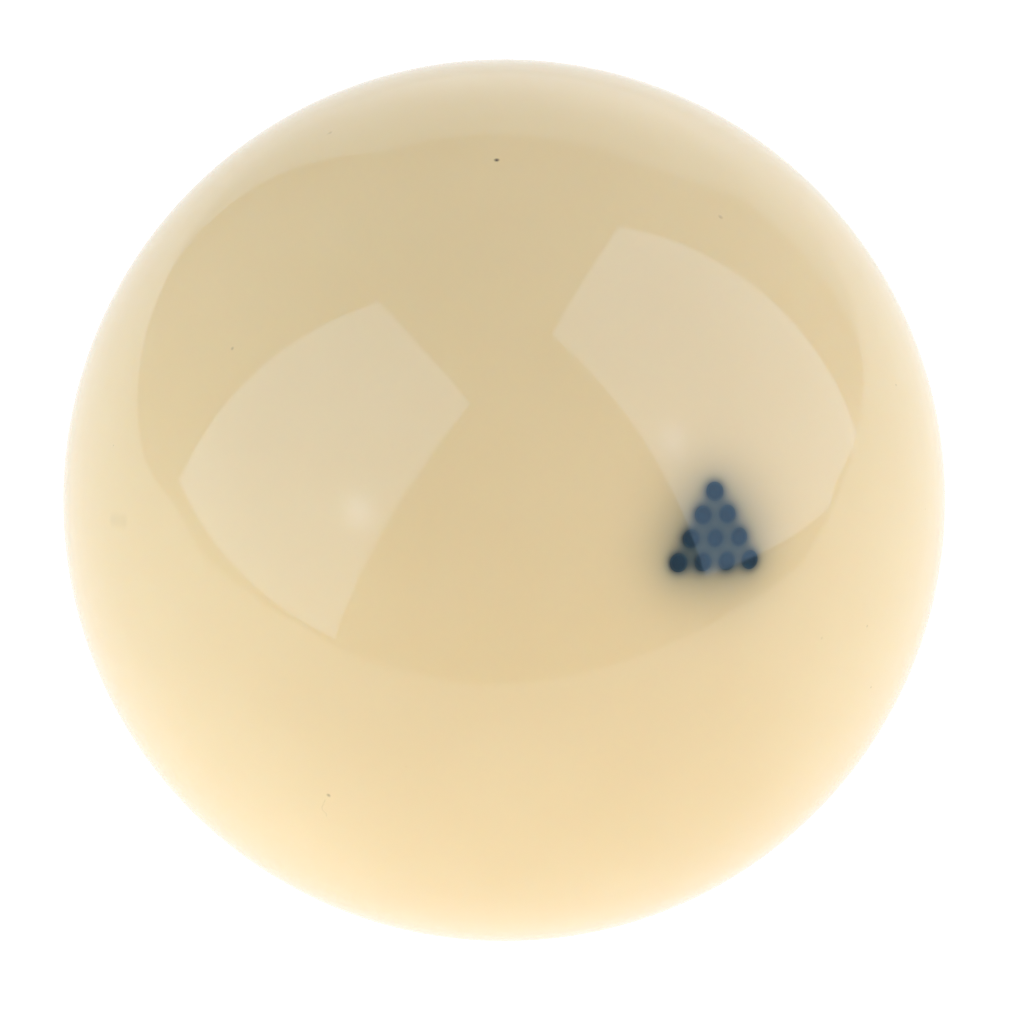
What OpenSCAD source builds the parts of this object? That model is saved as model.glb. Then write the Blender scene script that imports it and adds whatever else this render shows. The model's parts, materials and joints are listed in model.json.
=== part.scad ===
// Cue ball with an inlaid mark.
//
// A solid ball of cast phenolic resin. The mark is a triangular rack of round dots, widest row at the
// bottom. Each dot is the polished end of a pin of blue resin, cast into a blind hole drilled in the ball.
//
// Frame: millimetres, +Z up, the front of the ball faces -Y, and the origin is the centre of the ball.
// The ball rests on the cloth at the single point (0, 0, -ball_d / 2).

/* [Ball] */
// Diameter of the ball: 57.15 is the 2 1/4 inch pool ball
ball_d = 57.15; // [48:0.05:64]

/* [Mark] */
// Rows of dots in the triangle: row n holds n dots
mark_rows = 4; // [1:1:5]
// Distance between the centres of neighbouring dots
dot_pitch = 1.6; // [1.3:0.05:2.4]
// Diameter of one dot
dot_d = 1.15; // [0.6:0.05:1.2]
// Depth of the straight wall of each hole, measured from the middle of the mark
hole_depth = 3; // [1:0.25:8]
// Angle of the drill point at the bottom of each hole, in degrees
drill_point = 118; // [90:1:140]

/* [Place of the mark] */
// Direction of the mark, in degrees round from the front towards the right
mark_azimuth = 32; // [-180:1:180]
// Height of the mark above the equator, in degrees
mark_elevation = 34; // [-90:1:90]
// Lean of the mark about its own axis, in degrees clockwise as seen from outside
mark_lean = 19; // [-180:1:180]

/* [Colours] */
// Cast resin of the ball
ball_colour = "#e6d3a9";
// Resin of the inlaid pins
pin_colour = "#1c3f52";

/* [Hidden] */
ball_r = ball_d / 2;
dot_r = dot_d / 2;
dot_count = mark_rows * (mark_rows + 1) / 2;
row_gap = dot_pitch * sin(60);
// Length of the drill point's cone
point_h = dot_r / tan(drill_point / 2);
// How far the drill reaches past the ball's surface
clear_of_ball = 2;
ball_facets = 160;
hole_facets = 48;

// One dot as [row, place in its row], counted from the apex, so that dot 1 is [0, 0]
dots = [for (row = [0:mark_rows - 1]) for (place = [0:row]) [row, place]];

// Name of a pin from its number, which starts at 1
function pin_name(n) = str("mark_pin_", n);

// Centre of a dot on the mark's own plane, with the rack centred between its apex and its widest row
function dot_centre(dot) = [
    (dot[1] - dot[0] / 2) * dot_pitch,
    ((mark_rows - 1) / 2 - dot[0]) * row_gap,
];

// The whole ball, with nothing drilled in it
module whole_ball() {
    sphere(r = ball_r, $fn = ball_facets);
}

// Puts children drawn round the mark's own axis, +Z outwards and +Y up, in their place on the ball
module at_mark() {
    rotate([0, 0, mark_azimuth])
        rotate([90 - mark_elevation, 0, 0])
            rotate([0, 0, -mark_lean])
                children();
}

// Solid of one drilled hole: a cone at the bottom, then a straight wall that runs out past the surface
module drilled_hole(dot) {
    bottom = ball_r - hole_depth;
    translate(concat(dot_centre(dot), [bottom])) {
        cylinder(r = dot_r, h = hole_depth + clear_of_ball, $fn = hole_facets);
        translate([0, 0, -point_h])
            cylinder(r1 = 0, r2 = dot_r, h = point_h, $fn = hole_facets);
    }
}

// Cast resin ball with its drilled holes
module ball_body() {
    color(ball_colour)
        difference() {
            whole_ball();
            at_mark()
                for (dot = dots)
                    drilled_hole(dot);
        }
}

// Blue resin that fills one hole and is ground flush with the ball
module mark_pin(dot) {
    color(pin_colour)
        intersection() {
            whole_ball();
            at_mark()
                drilled_hole(dot);
        }
}

ball_body();
for (n = [1:dot_count])
    mark_pin(dots[n - 1]);
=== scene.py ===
"""Looks of the cue ball: polished cream resin, blue inlaid dots, and the studio that the ball reflects.

Lengths are in millimetres, and turn into metres where a mesh, a node or the camera is given them.
The ball's centre is the origin, +Z is up and the front of the ball faces -Y.
"""

import json
import math
import random

import bmesh
import bpy
import numpy as np
from mathutils import Matrix, Vector, kdtree
from mathutils.geometry import delaunay_2d_cdt


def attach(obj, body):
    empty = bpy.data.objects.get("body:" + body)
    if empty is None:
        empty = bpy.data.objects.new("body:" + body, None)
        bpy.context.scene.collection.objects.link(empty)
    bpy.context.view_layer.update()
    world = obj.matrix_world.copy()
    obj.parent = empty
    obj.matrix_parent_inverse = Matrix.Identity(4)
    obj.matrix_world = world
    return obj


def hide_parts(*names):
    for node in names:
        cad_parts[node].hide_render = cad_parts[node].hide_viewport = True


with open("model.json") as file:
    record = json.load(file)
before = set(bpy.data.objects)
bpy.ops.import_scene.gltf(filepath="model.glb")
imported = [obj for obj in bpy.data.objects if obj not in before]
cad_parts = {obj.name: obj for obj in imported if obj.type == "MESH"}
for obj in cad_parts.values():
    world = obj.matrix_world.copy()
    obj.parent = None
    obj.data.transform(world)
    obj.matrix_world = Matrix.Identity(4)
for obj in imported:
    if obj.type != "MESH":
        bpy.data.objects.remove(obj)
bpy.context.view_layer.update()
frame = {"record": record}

MM = 0.001

# ---------------------------------------------------------------------------------------------
# The ball and its mark, as the CAD model has them
# ---------------------------------------------------------------------------------------------

BALL_R = max(frame["record"]["size"]["bbox_m"]) / 2 / MM
MARK_ROWS = 4
DOT_PITCH = 1.6
DOT_R = 1.15 / 2
HOLE_DEPTH = 3.0
DRILL_POINT = math.radians(118)
MARK_AZIMUTH = math.radians(32)
MARK_ELEVATION = math.radians(34)
MARK_LEAN = math.radians(19)

ROW_GAP = DOT_PITCH * math.sin(math.radians(60))
HOLE_BOTTOM = BALL_R - HOLE_DEPTH
POINT_H = DOT_R / math.tan(DRILL_POINT / 2)
DOTS = [
    ((place - row / 2) * DOT_PITCH, ((MARK_ROWS - 1) / 2 - row) * ROW_GAP)
    for row in range(MARK_ROWS)
    for place in range(row + 1)
]

# From the mark's own frame, +Z outwards and +Y up, to the ball's
MARK_FRAME = (
    Matrix.Rotation(MARK_AZIMUTH, 3, "Z")
    @ Matrix.Rotation(math.pi / 2 - MARK_ELEVATION, 3, "X")
    @ Matrix.Rotation(-MARK_LEAN, 3, "Z")
)

# ---------------------------------------------------------------------------------------------
# Wear on the ball: pits, a hair scratch and a ding
# ---------------------------------------------------------------------------------------------

# Depth of a pit as a share of its width
PIT_DEPTH = 0.06
PIT_PLACES = [
    # azimuth and elevation in degrees, width in millimetres, then how dark it is, from 0 to 1
    (-27, 88.1, 0.44, 1.0),
    (80.5, 62, 0.46, 0.2),
    (-59, 48, 0.32, 0.28),
    (78.5, 29.5, 0.2, 0.35),
    (53, -0.5, 0.2, 0.35),
    (52.5, 10, 0.26, 0.2),
    (44, 13.5, 0.28, 0.1),
    (72, 14, 0.12, 0.4),
    (-12, 7, 0.09, 0.4),
    (-70, 26, 0.12, 0.4),
    (-116.5, 65, 0.46, 0.15),
    (-22, -0.5, 0.38, 0.4),
]
# Pits on the back and the underside
UNSEEN_PITS = 14
# Azimuth and elevation along the middle of the ding and along the hair scratch
DING_PLACES = [(-63.5, 19), (-61, 20.5)]
HAIR_PLACES = [(-22.5, -1.5), (-23, -3), (-23, -3.5), (-22.5, -4), (-22.5, -4.5)]


def direction(azimuth, elevation):
    """Unit vector from the ball's centre, in degrees round from the front and up from the equator."""
    a = math.radians(azimuth)
    e = math.radians(elevation)
    return np.array([math.sin(a) * math.cos(e), -math.cos(a) * math.cos(e), math.sin(e)])


class Flaw:
    """A shallow dip along a path on the ball's surface, or a round pit where the path is one point."""

    def __init__(self, path, width, depth, grime):
        self.path = np.array(path) * BALL_R
        self.half = width / 2
        self.depth = depth
        self.grime = grime

    def distance(self, points):
        """Distance from each point to the path."""
        if len(self.path) == 1:
            return np.linalg.norm(points - self.path[0], axis=1)
        starts = self.path[:-1]
        runs = self.path[1:] - starts
        along = np.einsum("psk,sk->ps", points[:, None] - starts, runs) / (runs**2).sum(1)
        nearest = starts + np.clip(along, 0, 1)[..., None] * runs
        return np.linalg.norm(points[:, None] - nearest, axis=2).min(1)

    def profile(self, points):
        """1 at the bottom of the dip, falling smoothly to 0 at its rim."""
        share = np.clip(self.distance(points) / self.half, 0, 1)
        return (1 - share**2) ** 2

    def middle(self):
        """Mean of the path's points."""
        return self.path.mean(0)

    def reach(self):
        """Radius of a ball round the middle that holds the whole flaw."""
        return np.linalg.norm(self.path - self.middle(), axis=1).max() + self.half


def flaws():
    """Every pit and scratch on the ball, those of the back and underside at seeded places."""
    found = [
        Flaw([direction(a, e)], width, depth=width * PIT_DEPTH, grime=dark)
        for a, e, width, dark in PIT_PLACES
    ]
    ding = [direction(*place) for place in DING_PLACES]
    found.append(Flaw(ding, width=1.3, depth=0.012, grime=0.06))
    hair = [direction(*place) for place in HAIR_PLACES]
    found.append(Flaw(hair, width=0.09, depth=0.005, grime=0.12))
    rng = random.Random(8)
    for _ in range(UNSEEN_PITS):
        azimuth = rng.uniform(100, 260)
        elevation = math.degrees(math.asin(rng.uniform(-0.95, 0.6)))
        width = rng.uniform(0.15, 0.4)
        place = direction(azimuth, elevation)
        found.append(Flaw([place], width, depth=width * PIT_DEPTH, grime=0.4))
    return found


# ---------------------------------------------------------------------------------------------
# Meshes
# ---------------------------------------------------------------------------------------------

# Sides round each dot, and rings from its middle to its edge
DOT_SIDES = 72
DOT_RINGS = 6
# The round cap that holds the mark, and the gap between the points inside it
CAP_R = 6.5
CAP_GRID = 0.25
# Sides round the rest of the ball, and rings from the cap to the far end
BALL_SIDES = 256
BALL_RINGS = 210
# Faces from the middle of a flaw to its rim, and the smallest size they are split to
FLAW_FACES = 5
FINEST = 0.02
# How far below the ball's radius the middle of a face on its outside may be
SHELL_DEPTH = 0.2
# Step over which the slope of a flaw is measured
SLOPE_STEP = 0.002
# How far apart two points may be and still count as the same, in joining and in finding a circle's points
MERGE = 1e-7
ON_CIRCLE = 1e-4


def on_ball(x, y):
    """Point of the ball's surface over a point of the mark's plane."""
    return Vector((x, y, math.sqrt(BALL_R**2 - x * x - y * y)))


def circle(centre, radius, sides):
    """Points round a circle, anticlockwise."""
    turns = [2 * math.pi * n / sides for n in range(sides)]
    return [(centre[0] + radius * math.cos(a), centre[1] + radius * math.sin(a)) for a in turns]


def clear_of_loops(point):
    """Is a point of the mark's plane inside the cap, and not on or in a dot?"""
    spare = CAP_GRID / 2
    inside = math.hypot(*point) < CAP_R - spare
    return inside and all(math.dist(point, dot) > DOT_R + spare for dot in DOTS)


def cap_faces():
    """Points and triangles of the round cap that holds the mark, with each dot left open."""
    loops = [circle((0, 0), CAP_R, BALL_SIDES)] + [circle(dot, DOT_R, DOT_SIDES) for dot in DOTS]
    points = []
    edges = []
    for loop in loops:
        first = len(points)
        edges += [(first + n, first + (n + 1) % len(loop)) for n in range(len(loop))]
        points += loop
    rows = math.ceil(CAP_R / CAP_GRID / math.sin(math.radians(60)))
    columns = math.ceil(CAP_R / CAP_GRID) + 1
    for row in range(-rows, rows + 1):
        for column in range(-columns, columns + 1):
            x = (column + row % 2 / 2) * CAP_GRID
            y = row * CAP_GRID * math.sin(math.radians(60))
            if clear_of_loops((x, y)):
                points.append((x, y))
    made = delaunay_2d_cdt([Vector(p) for p in points], edges, [], 0, MERGE)
    points = made[0]
    middles = [sum((points[n] for n in face), Vector((0, 0))) / 3 for face in made[2]]
    outside = [all(math.dist(m, dot) > DOT_R for dot in DOTS) for m in middles]
    return points, [face for face, keep in zip(made[2], outside) if keep]


def loop_round(points, centre, radius):
    """Indices of the points that lie on a circle, in order round it."""
    on = [n for n, p in enumerate(points) if abs(math.dist(p, centre) - radius) < ON_CIRCLE]
    return sorted(on, key=lambda n: math.atan2(points[n].y - centre[1], points[n].x - centre[0]))


def bridge(bm, lower, upper):
    """Quads between two closed loops of vertices of the same length."""
    for n in range(len(lower)):
        following = (n + 1) % len(lower)
        bm.faces.new((lower[n], lower[following], upper[following], upper[n]))


def close_fan(bm, loop, tip):
    """Triangles from a closed loop of vertices to a point."""
    point = bm.verts.new(tip)
    for n in range(len(loop)):
        bm.faces.new((loop[n], loop[(n + 1) % len(loop)], point))


def ring(bm, loop, height):
    """A copy of a loop of vertices at another height along the mark's axis."""
    return [bm.verts.new((v.co.x, v.co.y, height)) for v in loop]


def drilled_ball():
    """The ball's surface with ten drilled holes, in the mark's frame."""
    bm = bmesh.new()
    points, faces = cap_faces()
    verts = [bm.verts.new(on_ball(*p)) for p in points]
    for face in faces:
        bm.faces.new([verts[n] for n in face])
    for dot in DOTS:
        rim = [verts[n] for n in loop_round(points, dot, DOT_R)]
        floor = ring(bm, rim, HOLE_BOTTOM)
        bridge(bm, rim, floor)
        close_fan(bm, floor, (*dot, HOLE_BOTTOM - POINT_H))
    cap_angle = math.asin(CAP_R / BALL_R)
    last = [verts[n] for n in loop_round(points, (0, 0), CAP_R)]
    turns = [math.atan2(v.co.y, v.co.x) for v in last]
    for n in range(1, BALL_RINGS):
        down = cap_angle + (math.pi - cap_angle) * n / BALL_RINGS
        radius = BALL_R * math.sin(down)
        height = BALL_R * math.cos(down)
        new = [bm.verts.new((radius * math.cos(t), radius * math.sin(t), height)) for t in turns]
        bridge(bm, last, new)
        last = new
    close_fan(bm, last, (0, 0, -BALL_R))
    return bm


def refine(bm, found):
    """Splits the faces round each flaw until they are fine enough to carry its shape."""
    centres = kdtree.KDTree(len(bm.faces))
    for n, face in enumerate(bm.faces):
        centres.insert(face.calc_center_median(), n)
    centres.balance()
    bm.faces.ensure_lookup_table()
    width = 2 * math.pi * BALL_R / BALL_SIDES
    starts = [
        [bm.faces[n] for _, n, _ in centres.find_range(flaw.middle(), flaw.reach() + 2 * width)]
        for flaw in found
    ]
    for flaw, near in zip(found, starts):
        size = width
        while size > max(FINEST, flaw.half / FLAW_FACES):
            near = [face for face in near if face.is_valid]
            middles = np.array([face.calc_center_median() for face in near])
            wanted = flaw.distance(middles) < flaw.half + size
            edges = {edge for face, want in zip(near, wanted) if want for edge in face.edges}
            made = bmesh.ops.subdivide_edges(bm, edges=list(edges), cuts=1, use_grid_fill=True)
            new = [g for g in made["geom_inner"] if isinstance(g, bmesh.types.BMVert)]
            for vert in new:
                vert.co *= BALL_R / vert.co.length
            near = list({face for vert in new for face in vert.link_faces})
            size /= 2


def dent(points, found):
    """Presses the flaws into points on the ball. Returns points, shading normals and grime."""
    normals = points / np.linalg.norm(points, axis=1)[:, None]
    slopes = np.zeros_like(points)
    sunk = np.zeros(len(points))
    grime = np.zeros(len(points))
    for flaw in found:
        near = np.flatnonzero(np.linalg.norm(points - flaw.middle(), axis=1) < flaw.reach())
        here = points[near]
        shape = flaw.profile(here)
        sunk[near] += flaw.depth * shape
        grime[near] = np.maximum(grime[near], flaw.grime * shape)
        for axis in np.eye(3) * SLOPE_STEP:
            rise = flaw.profile(here + axis) - flaw.profile(here - axis)
            slopes[near] += np.outer(flaw.depth * rise / (2 * SLOPE_STEP), axis / SLOPE_STEP)
    slopes -= normals * (slopes * normals).sum(1)[:, None]
    shading = normals + slopes
    shading /= np.linalg.norm(shading, axis=1)[:, None]
    return points - normals * sunk[:, None], shading, grime


def object_from(bm, name, material, found=()):
    """An object from a bmesh. Its shading normals are exact on the ball's surface and flat in the holes."""
    bmesh.ops.recalc_face_normals(bm, faces=bm.faces)
    # Refining leaves some faces with five sides or more at its edges
    bmesh.ops.triangulate(bm, faces=[face for face in bm.faces if len(face.verts) > 4])
    mesh = bpy.data.meshes.new(name)
    bm.to_mesh(mesh)
    bm.free()
    points = np.empty(len(mesh.vertices) * 3)
    mesh.vertices.foreach_get("co", points)
    points, shading, grime = dent(points.reshape(-1, 3), found)
    mesh.vertices.foreach_set("co", (points * MM).ravel())
    mesh.polygons.foreach_set("use_smooth", [True] * len(mesh.polygons))
    mesh.attributes.new("grime", "FLOAT", "POINT").data.foreach_set("value", grime)
    mesh.update()
    normals = []
    for face in mesh.polygons:
        on_shell = face.center.length > (BALL_R - SHELL_DEPTH) * MM
        for vertex in face.vertices:
            normals.append(shading[vertex] if on_shell else face.normal)
    mesh.normals_split_custom_set(normals)
    mesh.materials.append(material)
    obj = bpy.data.objects.new(name, mesh)
    bpy.context.scene.collection.objects.link(obj)
    return obj


def make_ball(material):
    """The cast ball, with its holes and its wear."""
    found = flaws()
    bm = drilled_ball()
    bm.transform(MARK_FRAME.to_4x4())
    refine(bm, found)
    ball = object_from(bm, "resin_ball", material, found)
    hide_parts("ball_body")
    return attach(ball, "root")


def make_dot(number, centre, material):
    """One pin of blue resin, its outer end ground to the ball's own curve."""
    bm = bmesh.new()
    loops = []
    for n in range(1, DOT_RINGS + 1):
        outline = circle(centre, DOT_R * n / DOT_RINGS, DOT_SIDES)
        loops.append([bm.verts.new(on_ball(*p)) for p in outline])
    close_fan(bm, loops[0], on_ball(*centre))
    for inner, outer in zip(loops, loops[1:]):
        bridge(bm, inner, outer)
    floor = ring(bm, loops[-1], HOLE_BOTTOM)
    bridge(bm, loops[-1], floor)
    close_fan(bm, floor, (*centre, HOLE_BOTTOM - POINT_H))
    bm.transform(MARK_FRAME.to_4x4())
    dot = object_from(bm, f"inlay_dot_{number}", material)
    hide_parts(f"mark_pin_{number}")
    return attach(dot, "root")


# ---------------------------------------------------------------------------------------------
# Materials
# ---------------------------------------------------------------------------------------------

RESIN_IOR = 1.5
# The two creams and the two blues that cloud each resin faintly
CREAM = ((0.84, 0.66, 0.375, 1), (0.87, 0.69, 0.40, 1))
BLUE = ((0.001, 0.037, 0.068, 1), (0.003, 0.046, 0.082, 1))
# How far red, green and blue light travel in each resin
CREAM_SCATTER = (1.6, 1.3, 1.0)
BLUE_SCATTER = (0.1, 0.1, 0.1)
# Painted shade of blue-grey round a dot, where the pins soak up light scattered in the cream; painted light
# paling a dot's edge, where light from the cream scatters into the blue; and dirt in a pit
PAINTED_HALO_SHADE_COLOUR = (0.03, 0.075, 0.09, 1)
PAINTED_EDGE_LIGHT_COLOUR = (0.035, 0.075, 0.095, 1)
GRIME_COLOUR = (0.055, 0.034, 0.014, 1)
# Roughness of the polish, least and most, and of a pit
POLISHED = (0.04, 0.065)
PITTED = 0.5
# Height of the ripple that polishing leaves, and how much of it shows
RIPPLE = 0.02
RIPPLE_STRENGTH = 0.04
# Painted blue-grey shade round each dot, for light that the pins soak up under the cream: its strength at
# the dot's edge, and its reach.
# The close halo is squared once all dots are added, which fills the gaps between dots.
CLOSE_HALO = (1.1, 0.37)
WIDE_HALO = (0.3, 1.2)
# Width of the band of painted light, a paler blue, inside a dot's edge
DOT_EDGE = 0.18


class Nodes:
    """A node tree with short calls for the nodes that the materials here are made of."""

    def __init__(self, tree):
        self.tree = tree
        tree.nodes.clear()

    def add(self, kind, **settings):
        node = self.tree.nodes.new(kind)
        for name, value in settings.items():
            setattr(node, name, value)
        return node

    def feed(self, node, socket, value):
        """Gives an input a number, a colour, or another node's output."""
        target = node.inputs[socket]
        if isinstance(value, bpy.types.NodeSocket):
            self.tree.links.new(value, target)
        else:
            target.default_value = value

    def math(self, operation, *values):
        node = self.add("ShaderNodeMath", operation=operation)
        for n, value in enumerate(values):
            self.feed(node, n, value)
        return node.outputs[0]

    def vector(self, operation, *values):
        node = self.add("ShaderNodeVectorMath", operation=operation)
        for n, value in enumerate(values):
            self.feed(node, n, value)
        return node.outputs["Value" if operation in ("DOT_PRODUCT", "DISTANCE") else "Vector"]

    def mix(self, share, first, second):
        """A colour between two others. The colours are inputs 6 and 7 of the node, and its output 2."""
        node = self.add("ShaderNodeMix", data_type="RGBA")
        self.feed(node, "Factor", share)
        self.feed(node, 6, first)
        self.feed(node, 7, second)
        return node.outputs[2]

    def noise(self, scale, detail, roughness=0.5):
        """Noise over the object's own coordinates, from 0 to 1. Scale is in cells per metre."""
        node = self.add("ShaderNodeTexNoise")
        self.feed(node, "Vector", self.add("ShaderNodeTexCoord").outputs["Object"])
        self.feed(node, "Scale", scale)
        self.feed(node, "Detail", detail)
        self.feed(node, "Roughness", roughness)
        return node.outputs["Fac"]

    def between(self, value, low, high, to_low=0.0, to_high=1.0):
        """A value carried from one range to another and held inside it."""
        node = self.add("ShaderNodeMapRange")
        for socket, number in zip(range(5), (value, low, high, to_low, to_high)):
            self.feed(node, socket, number)
        return node.outputs[0]


def new_material(name):
    """An empty node material and its tree."""
    material = bpy.data.materials.new(name)
    material.use_nodes = True
    return material, Nodes(material.node_tree)


def resin_shader(nodes, colour, roughness, normal, scatter):
    """Polished translucent resin. Scatter is how far red, green and blue light travel in it."""
    shader = nodes.add("ShaderNodeBsdfPrincipled", subsurface_method="RANDOM_WALK")
    nodes.feed(shader, "Base Color", colour)
    nodes.feed(shader, "Roughness", roughness)
    nodes.feed(shader, "Normal", normal)
    nodes.feed(shader, "IOR", RESIN_IOR)
    nodes.feed(shader, "Subsurface Weight", 1.0)
    nodes.feed(shader, "Subsurface Radius", [length * MM for length in scatter])
    nodes.feed(shader, "Subsurface Scale", 1.0)
    output = nodes.add("ShaderNodeOutputMaterial")
    nodes.feed(output, "Surface", shader.outputs["BSDF"])


def dot_distances(nodes):
    """Distance in metres from the edge of each dot, below 0 inside it."""
    place = nodes.add("ShaderNodeTexCoord").outputs["Object"]
    across, up, out = (tuple(MARK_FRAME.col[n]) for n in range(3))
    flat = nodes.add("ShaderNodeCombineXYZ")
    nodes.feed(flat, "X", nodes.vector("DOT_PRODUCT", place, across))
    nodes.feed(flat, "Y", nodes.vector("DOT_PRODUCT", place, up))
    # Behind the mark's plane through the ball's centre, a place is put a metre away from every dot
    behind = nodes.math("LESS_THAN", nodes.vector("DOT_PRODUCT", place, out), 0.0)
    nodes.feed(flat, "Z", behind)
    found = []
    for x, y in DOTS:
        away = nodes.vector("DISTANCE", flat.outputs["Vector"], (x * MM, y * MM, 0))
        found.append(nodes.math("SUBTRACT", away, DOT_R * MM))
    return found


def halo(nodes, distances, strength, reach):
    """Sum over the dots of a painted blue-grey shade that falls to 1/e over each reach away from the dot's
    edge.
    """
    total = 0.0
    for away in distances:
        fade = nodes.math("EXPONENT", nodes.math("DIVIDE", away, -reach * MM))
        total = nodes.math("MULTIPLY_ADD", fade, strength, total)
    return total


def painted_halo_shade(nodes):
    """Painted shade: how strongly the cream is mixed towards blue-grey round the dots, from 0 to 1. It adds
    to the shade that the real subsurface scattering gives near the holes.
    """
    distances = dot_distances(nodes)
    close = nodes.math("POWER", halo(nodes, distances, *CLOSE_HALO), 2.0)
    depth = nodes.math("ADD", close, halo(nodes, distances, *WIDE_HALO))
    clear = nodes.math("EXPONENT", nodes.math("MULTIPLY", depth, -1.0))
    return nodes.math("SUBTRACT", 1.0, clear)


def polish(nodes):
    """Roughness and surface normal of a polished and played ball: fine haze and a slight ripple."""
    haze = nodes.between(nodes.noise(scale=900, detail=6), 0.35, 0.7, *POLISHED)
    bump = nodes.add("ShaderNodeBump")
    nodes.feed(bump, "Strength", RIPPLE_STRENGTH)
    nodes.feed(bump, "Distance", RIPPLE * MM)
    nodes.feed(bump, "Height", nodes.noise(scale=2500, detail=4))
    return haze, bump.outputs["Normal"]


def cream_resin():
    """Cast cream resin, clouded very faintly, with painted blue-grey shade round the inlay, and dark in the
    pits.
    """
    material, nodes = new_material("cream_resin")
    cloud = nodes.between(nodes.noise(scale=60, detail=3), 0.3, 0.7)
    cream = nodes.mix(cloud, *CREAM)
    # Painted shade: the cream is mixed towards blue-grey round the dots
    halo_shaded = nodes.mix(painted_halo_shade(nodes), cream, PAINTED_HALO_SHADE_COLOUR)
    grime = nodes.add("ShaderNodeAttribute", attribute_name="grime").outputs["Fac"]
    colour = nodes.mix(grime, halo_shaded, GRIME_COLOUR)
    haze, normal = polish(nodes)
    roughness = nodes.between(grime, 0.0, 1.0, haze, PITTED)
    resin_shader(nodes, colour, roughness, normal, CREAM_SCATTER)
    return material


def blue_resin():
    """Cast dark blue resin with painted light at its edge: a paler band for light from the cream that
    scatters into the blue.
    """
    material, nodes = new_material("blue_resin")
    cloud = nodes.between(nodes.noise(scale=1500, detail=3), 0.3, 0.7)
    blue = nodes.mix(cloud, *BLUE)
    nearest = BALL_R * MM
    for away in dot_distances(nodes):
        nearest = nodes.math("MINIMUM", away, nearest)
    # Painted light: the blue is mixed towards a paler blue near each dot's edge
    edge = nodes.between(nearest, -DOT_EDGE * MM, 0.0)
    colour = nodes.mix(edge, blue, PAINTED_EDGE_LIGHT_COLOUR)
    haze, normal = polish(nodes)
    resin_shader(nodes, colour, haze, normal, BLUE_SCATTER)
    return material


# ---------------------------------------------------------------------------------------------
# The studio
# ---------------------------------------------------------------------------------------------

# How bright the table is where it lights the ball, and where the ball's gloss shows it
TABLE_LIT = 1.44
TABLE_IN_GLOSS = 1.06
# The backdrop's brightest place along its foot, the distances from it between which its light fades,
# and its strength at both
BACKDROP_MIDDLE = 60
BACKDROP_FADE = (100, 400)
BACKDROP_LIT = (1.25, 0.7)
# How far out the lamp's bright spot in a softbox has fallen to 1/e
LAMP_REACH = 30
SOFTBOX_LEFT_COLOUR = (0.62, 0.76, 1.0, 1)
SOFTBOX_RIGHT_COLOUR = (0.65, 0.76, 1.0, 1)
# Light from every side on the ball, and the dim room that its gloss shows
FILL_COLOUR = (0.429, 0.37, 0.199, 1)
ROOM_COLOUR = (0.54, 0.4, 0.31, 1)

# Outlines run anticlockwise as the lit side shows them. The table's is seen from above, and the
# backdrop's stands on the table's back edge, with its middle behind the ball.
TABLE_BACK = 430
TABLE_OUTLINE = [
    (-400, TABLE_BACK),
    (-430, 100),
    (-1200, 0),
    (-600, -150),
    (-850, -400),
    (-750, -620),
    (-380, -480),
    (0, -430),
    (200, -600),
    (460, -730),
    (900, -600),
    (610, -265),
    (505, -130),
    (750, -70),
    (1300, 150),
    (1300, TABLE_BACK),
]
BACKDROP_OUTLINE = [
    (-390, 0),
    (620, 0),
    (520, 50),
    (400, 135),
    (320, 175),
    (265, 275),
    (190, 312),
    (0, 312),
    (-165, 288),
    (-200, 233),
    (-265, 95),
    (-330, 28),
]
SOFTBOX_LEFT_OUTLINE = [
    (-211.5, -309.5),
    (211.5, -309.5),
    (211.5, 309.5),
    (-211.5, 309.5),
]
# The right softbox hangs a little lower along the middle of its bottom edge
SOFTBOX_RIGHT_OUTLINE = [
    (-225, -316),
    (-100, -328),
    (-70, -348),
    (225, -328),
    (225, 328),
    (-225, 328),
]


def glow(name, colour, strength_of):
    """A material that shines from its front side only."""
    material, nodes = new_material(name)
    emission = nodes.add("ShaderNodeEmission")
    nodes.feed(emission, "Color", colour)
    nodes.feed(emission, "Strength", strength_of(nodes))
    side = nodes.add("ShaderNodeMixShader")
    nodes.feed(side, 0, nodes.add("ShaderNodeNewGeometry").outputs["Backfacing"])
    nodes.feed(side, 1, emission.outputs["Emission"])
    nodes.feed(side, 2, nodes.add("ShaderNodeBsdfTransparent").outputs["BSDF"])
    output = nodes.add("ShaderNodeOutputMaterial")
    nodes.feed(output, "Surface", side.outputs["Shader"])
    return material


def panel(name, centre, facing, outline, turn, material, seen):
    """A flat sheet of the studio. Its own X runs across, its Y up, and its Z the way it faces."""
    mesh = bpy.data.meshes.new(name)
    corners = [(x * MM, y * MM, 0) for x, y in outline]
    mesh.from_pydata(corners, [], [range(len(corners))])
    mesh.materials.append(material)
    obj = bpy.data.objects.new(name, mesh)
    bpy.context.scene.collection.objects.link(obj)
    aim = Vector(facing).to_track_quat("Z", "Y").to_matrix()
    place = Matrix.Translation(Vector(centre) * MM)
    obj.matrix_world = place @ (aim @ Matrix.Rotation(math.radians(turn), 3, "Z")).to_4x4()
    obj.visible_camera = seen
    return obj


def softbox_light(lamp_x, lamp_y, even, lamp):
    """Strength of a softbox: even all over, with a soft bright spot where its lamp is."""

    def strength_of(nodes):
        place = nodes.add("ShaderNodeTexCoord").outputs["Object"]
        away = nodes.vector("DISTANCE", place, (lamp_x * MM, lamp_y * MM, 0))
        spread = nodes.math("POWER", nodes.math("DIVIDE", away, LAMP_REACH * MM), 2.0)
        spot = nodes.math("EXPONENT", nodes.math("MULTIPLY", spread, -1.0))
        return nodes.math("MULTIPLY_ADD", spot, lamp, even)

    return strength_of


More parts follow.
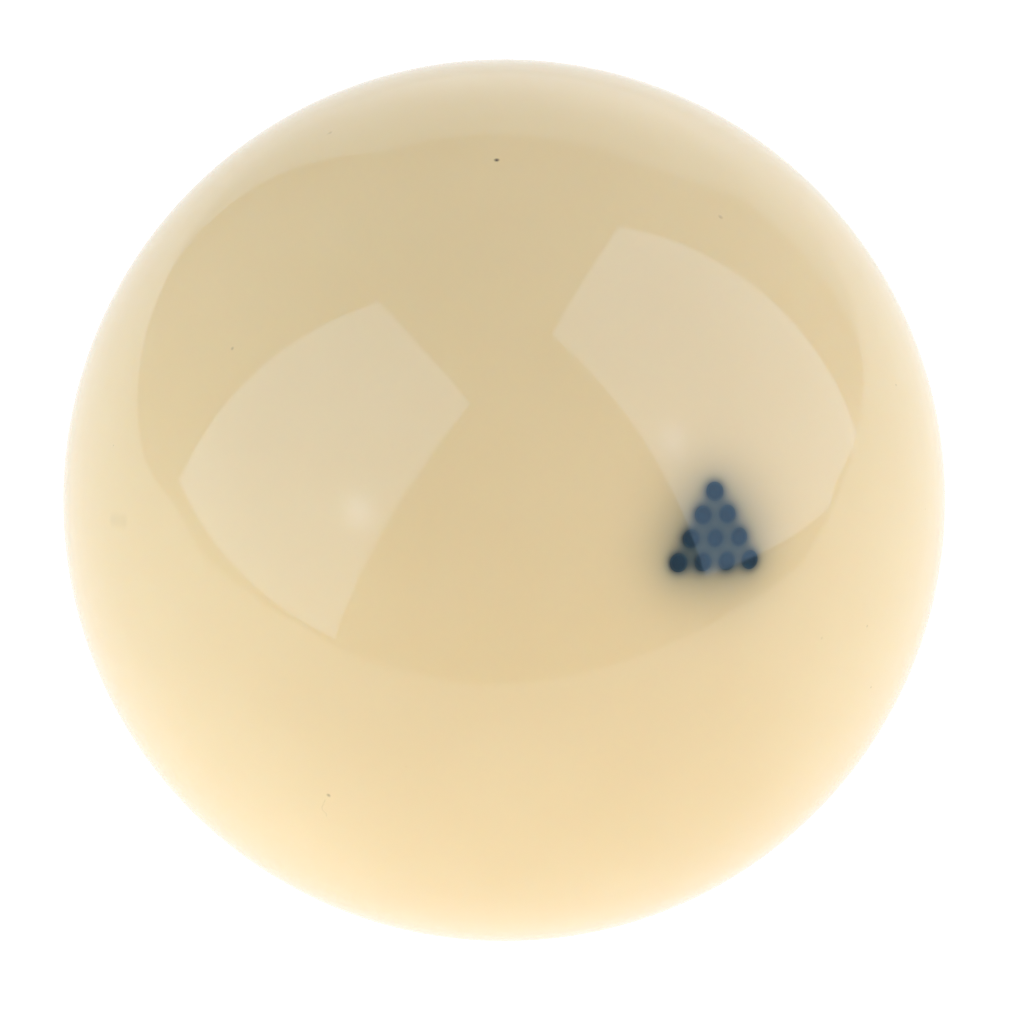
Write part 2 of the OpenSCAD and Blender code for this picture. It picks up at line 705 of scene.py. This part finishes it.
def table_light(nodes):
    """Strength of the table, which is less bright in the ball's gloss than where it lights the ball."""
    in_gloss = nodes.add("ShaderNodeLightPath").outputs["Is Glossy Ray"]
    return nodes.between(in_gloss, 0.0, 1.0, TABLE_LIT, TABLE_IN_GLOSS)


def backdrop_light(nodes):
    """Strength of the backdrop, which fades away from its foot behind the ball."""
    place = nodes.add("ShaderNodeTexCoord").outputs["Object"]
    away = nodes.vector("DISTANCE", place, (BACKDROP_MIDDLE * MM, 0, 0))
    return nodes.between(away, *(reach * MM for reach in BACKDROP_FADE), *BACKDROP_LIT)


def make_studio():
    """White lit table, pale backdrop and two softboxes."""
    table = glow("table_glow", (1, 1, 1, 1), table_light)
    panel("floor", (0, 0, -BALL_R), (0, 0, 1), TABLE_OUTLINE, 180, table, True)
    backdrop = glow("backdrop_glow", (1, 1, 1, 1), backdrop_light)
    panel("backdrop", (0, TABLE_BACK, -BALL_R), (0, -1, 0), BACKDROP_OUTLINE, 0, backdrop, False)
    panel(
        "softbox_left",
        centre=(-303, -126, 308),
        facing=(0.774, 0.547, -0.319),
        outline=SOFTBOX_LEFT_OUTLINE,
        turn=4.5,
        material=glow("softbox_left_glow", SOFTBOX_LEFT_COLOUR, softbox_light(-154, -88, 2.11, 2.2)),
        seen=False,
    )
    panel(
        "softbox_right",
        centre=(307, 30, 328),
        facing=(-0.89, 0.229, -0.395),
        outline=SOFTBOX_RIGHT_OUTLINE,
        turn=13.2,
        material=glow("softbox_right_glow", SOFTBOX_RIGHT_COLOUR, softbox_light(170, -96, 2.08, 1.8)),
        seen=False,
    )


def make_world():
    """White where the camera looks past everything, a dim room in the ball's gloss, and a fill light."""
    world = bpy.data.worlds.new("studio")
    bpy.context.scene.world = world
    world.use_nodes = True
    nodes = Nodes(world.node_tree)
    path = nodes.add("ShaderNodeLightPath")

    def background(label, colour):
        """Light of one colour from the whole sky."""
        node = nodes.add("ShaderNodeBackground", label=label)
        nodes.feed(node, "Color", colour)
        return node.outputs["Background"]

    lit = nodes.add("ShaderNodeMixShader")
    nodes.feed(lit, 0, path.outputs["Is Glossy Ray"])
    nodes.feed(lit, 1, background("fill", FILL_COLOUR))
    nodes.feed(lit, 2, background("room", ROOM_COLOUR))
    seen = nodes.add("ShaderNodeMixShader")
    nodes.feed(seen, 0, path.outputs["Is Camera Ray"])
    nodes.feed(seen, 1, lit.outputs["Shader"])
    nodes.feed(seen, 2, background("seen", (1, 1, 1, 1)))
    output = nodes.add("ShaderNodeOutputWorld")
    nodes.feed(output, "Surface", seen.outputs["Shader"])


def make_camera():
    """A long lens that looks down on the ball's front, with the ball nearly filling the frame."""
    elevation = math.radians(42)
    distance = 296.0
    back = Vector((0, -math.cos(elevation), math.sin(elevation)))
    up = Vector((0, math.sin(elevation), math.cos(elevation)))
    # The lens points a little right of the ball's centre and a little below it, as in the photograph
    aim = Vector((0.5, 0, 0)) - up * 0.76
    data = bpy.data.cameras.new("camera")
    data.lens = 160
    data.sensor_width = 36
    data.clip_start = 0.01
    data.clip_end = 10
    camera = bpy.data.objects.new("camera", data)
    bpy.context.scene.collection.objects.link(camera)
    place = back * distance
    camera.location = place * MM
    camera.rotation_euler = (aim - place).to_track_quat("-Z", "Y").to_euler()
    bpy.context.scene.camera = camera


make_camera()
make_world()
make_studio()
make_ball(cream_resin())
blue = blue_resin()
for index, dot in enumerate(DOTS):
    make_dot(index + 1, dot, blue)
bpy.context.scene.view_settings.view_transform = "Standard"
